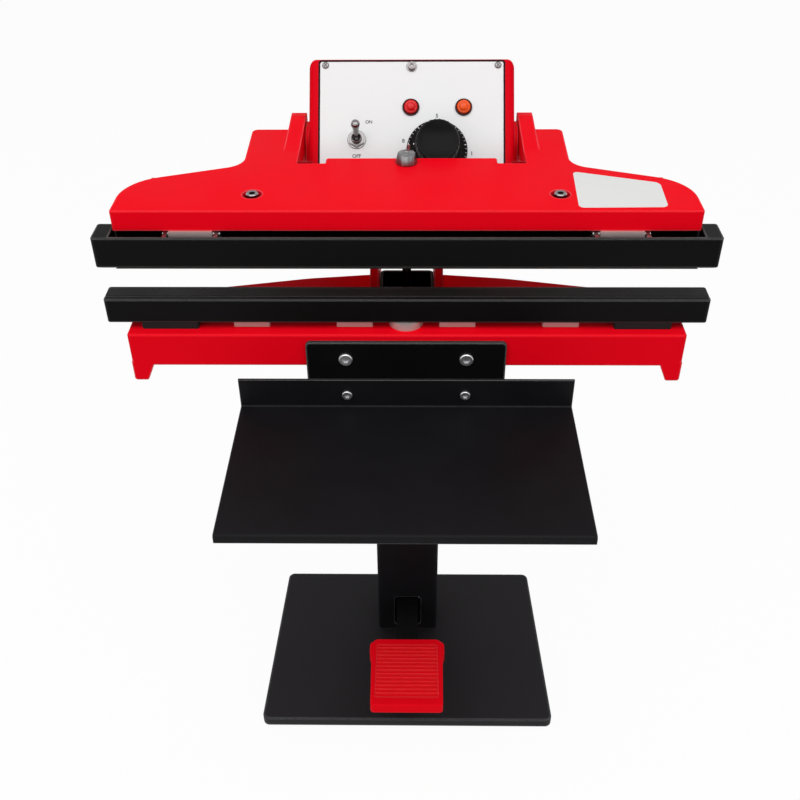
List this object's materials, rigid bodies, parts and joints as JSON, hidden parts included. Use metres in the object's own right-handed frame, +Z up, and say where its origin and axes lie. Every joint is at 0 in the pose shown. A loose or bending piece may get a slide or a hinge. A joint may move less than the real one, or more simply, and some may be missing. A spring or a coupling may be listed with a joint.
{
  "type": "foot pedal sealer",
  "caption": "Floor-standing impulse heat sealer with a pedal, a hinged upper jaw, a work table and a control box on a column.",
  "frame": {"origin": "middle of the machine's overall width and depth, on the floor", "axes": "+Z up, -Y towards the operator and the work table, +X to the operator's right"},
  "size_m": [0.62, 0.5076, 0.8139],
  "materials": {
    "base_black": "satin",
    "red_paint": "gloss",
    "bar_black": "satin",
    "steel": "satin",
    "chrome": "polished",
    "black_bolt": "satin",
    "rubber": "matte",
    "silicone": "matte",
    "release": "satin",
    "insulation": "matte",
    "ribbon": "polished",
    "bronze": "satin",
    "panel": "satin",
    "red_lens": "gloss",
    "orange_lens": "gloss",
    "dark_plastic": "satin",
    "switch_metal": "satin",
    "core_steel": "matte",
    "board_green": "satin"
  },
  "bodies": {
    "frame": {"base_tray": "base_black", "base_doubler_plate": "steel", "rubber_feet": "rubber", "base_bolts": "steel", "column": "base_black", "column_foot_plate": "steel", "spring_shelf": "steel", "column_head_plate": "base_black", "neck_tube": "base_black", "hinge_yoke": "red_paint", "yoke_bolts": "black_bolt", "lower_jaw_casting": "red_paint", "jaw_mount_bolts": "black_bolt", "lower_jaw_bar": "bar_black", "silicone_strip": "silicone", "lower_bar_spacers": "steel", "lower_bar_end_pads": "rubber", "lower_bar_bolts": "steel", "shelf_bracket": "bar_black", "work_table": "base_black", "shelf_screws": "steel", "hinge_pins": "steel", "return_spring": "steel", "pedal_pivot_bracket": "base_black", "pedal_pivot_pin": "steel", "control_box_shell": "red_paint", "back_cover": "red_paint", "box_screws": "steel", "control_panel": "panel", "panel_screws": "steel", "power_lamp_lens": "red_lens", "sealing_lamp_lens": "orange_lens", "lamp_bodies": "dark_plastic", "toggle_switch": "switch_metal", "timer_potentiometer": "dark_plastic", "transformer": "core_steel", "timer_board": "board_green", "cable_gland": "dark_plastic"},
    "jaw": {"upper_jaw_casting": "red_paint", "jaw_bolts": "chrome", "bar_hangers": "steel", "hinge_bushes": "bronze", "rod_cap": "steel"},
    "upper_bar": {"upper_jaw_bar": "bar_black", "bar_pivot_brackets": "steel", "bar_pivot_pins": "steel", "insulation_strip": "insulation", "heating_ribbon": "ribbon", "release_sheet": "release", "ribbon_clamps": "steel"},
    "pull_rod": {"pull_rod": "black_bolt", "stop_collar": "steel", "rod_eye": "steel"},
    "pedal": {"pedal_lever": "base_black", "pedal_pad": "red_paint", "pad_screws": "steel", "rod_eye_pin": "steel"},
    "knob": {"timer_knob": "dark_plastic"},
    "toggle": {"toggle_lever": "chrome"}
  },
  "joints": [
    {"name": "jaw_hinge", "type": "hinge", "parent": "frame", "child": "jaw", "pos_m": [0.0052, 0.1878, 0.728], "axis": [1, 0, 0], "range_deg": [0, 9.4], "stiffness_Nm_per_rad": 67, "springref_deg": -13.18, "deforming": ["return_spring"]},
    {"name": "bar_rock", "type": "hinge", "parent": "jaw", "child": "upper_bar", "pos_m": [0, -0.0246, 0.722], "axis": [1, 0, 0], "range_deg": [-9.4, 0]},
    {"name": "rod_swing", "type": "hinge", "parent": "jaw", "child": "pull_rod", "pos_m": [0, 0.0818, 0.7495], "axis": [1, 0, 0], "range_deg": [-9.4, 0]},
    {"name": "pedal_pivot", "type": "hinge", "parent": "frame", "child": "pedal", "pos_m": [0, 0.1578, 0.054], "axis": [1, 0, 0], "range_deg": [0, 13.1]},
    {"name": "knob_turn", "type": "hinge", "parent": "frame", "child": "knob", "pos_m": [0.0335, 0.14156, 0.73798], "axis": [0, -0.7694, 0.6388], "range_deg": [-300, 0]},
    {"name": "toggle_flip", "type": "hinge", "parent": "frame", "child": "toggle", "pos_m": [-0.0561, 0.14859, 0.74801], "axis": [1, 0, 0], "range_deg": [0, 44]}
  ],
  "couplings": [
    {"joint": "bar_rock", "follows": "jaw_hinge", "ratio": -1},
    {"joint": "rod_swing", "follows": "jaw_hinge", "ratio": -1},
    {"joint": "pedal_pivot", "follows": "jaw_hinge", "ratio": 1.383}
  ]
}
